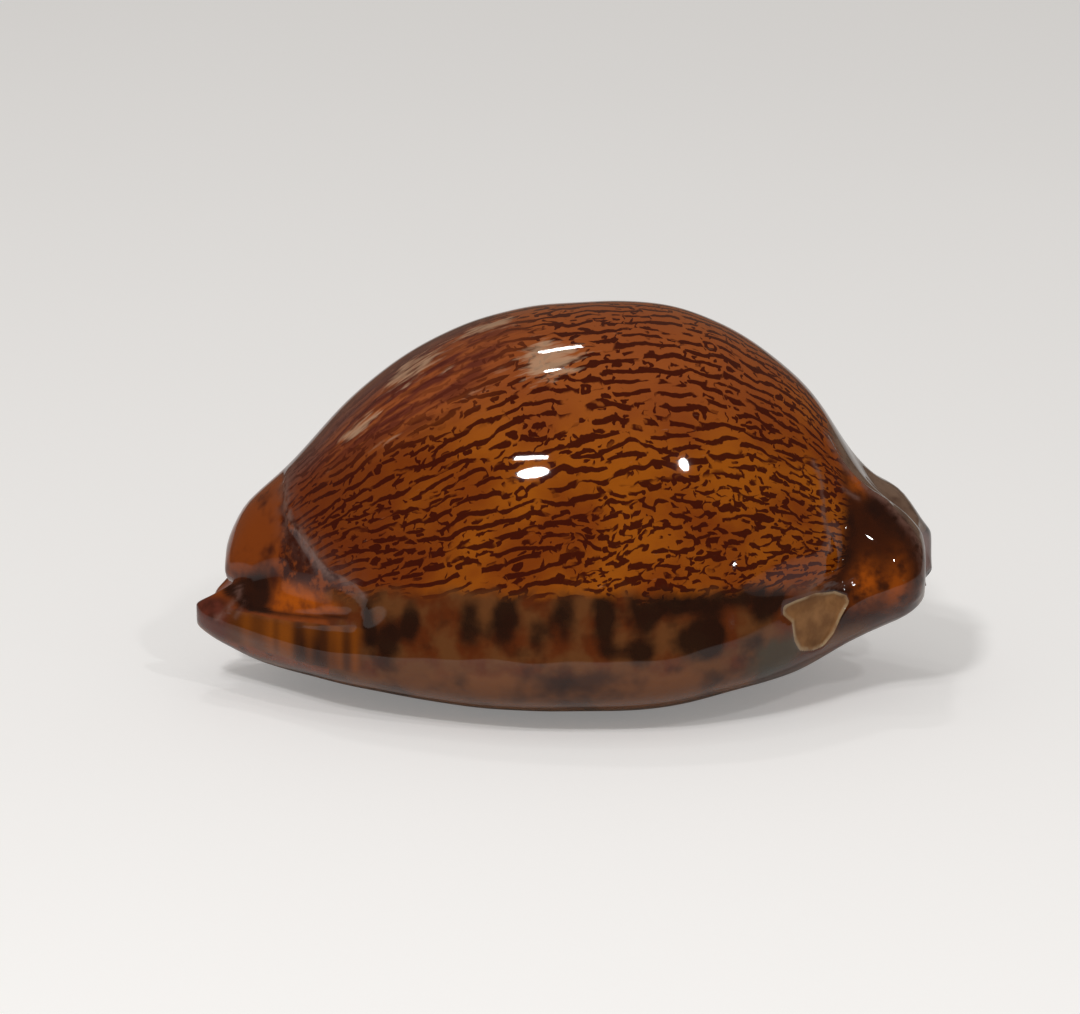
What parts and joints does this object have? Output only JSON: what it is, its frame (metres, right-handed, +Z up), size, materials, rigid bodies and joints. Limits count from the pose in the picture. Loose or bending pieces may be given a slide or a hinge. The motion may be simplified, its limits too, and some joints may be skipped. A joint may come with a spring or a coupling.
{
  "type": "cowrie shell",
  "caption": "Humped glossy cowrie shell: amber back with broken dark lines, blotched thick margins and a long slit along the base, which is worn flat where it rests.",
  "frame": {"origin": "under the middle of the shell's length and width, on the plane that its base rests on", "axes": "+X along the shell to its hind (spire) end, +Y to the outer lip's side, +Z up through the humped back; the slit runs along X on the underside"},
  "size_m": [0.065, 0.042, 0.0336],
  "materials": {
    "shell": "natural shell with a glassy gloss: amber to orange brown back with dark brown broken lines, dark blotches on the margins, grey brown base with chestnut teeth"
  },
  "bodies": {
    "root": {"shell": "shell"}
  },
  "joints": []
}
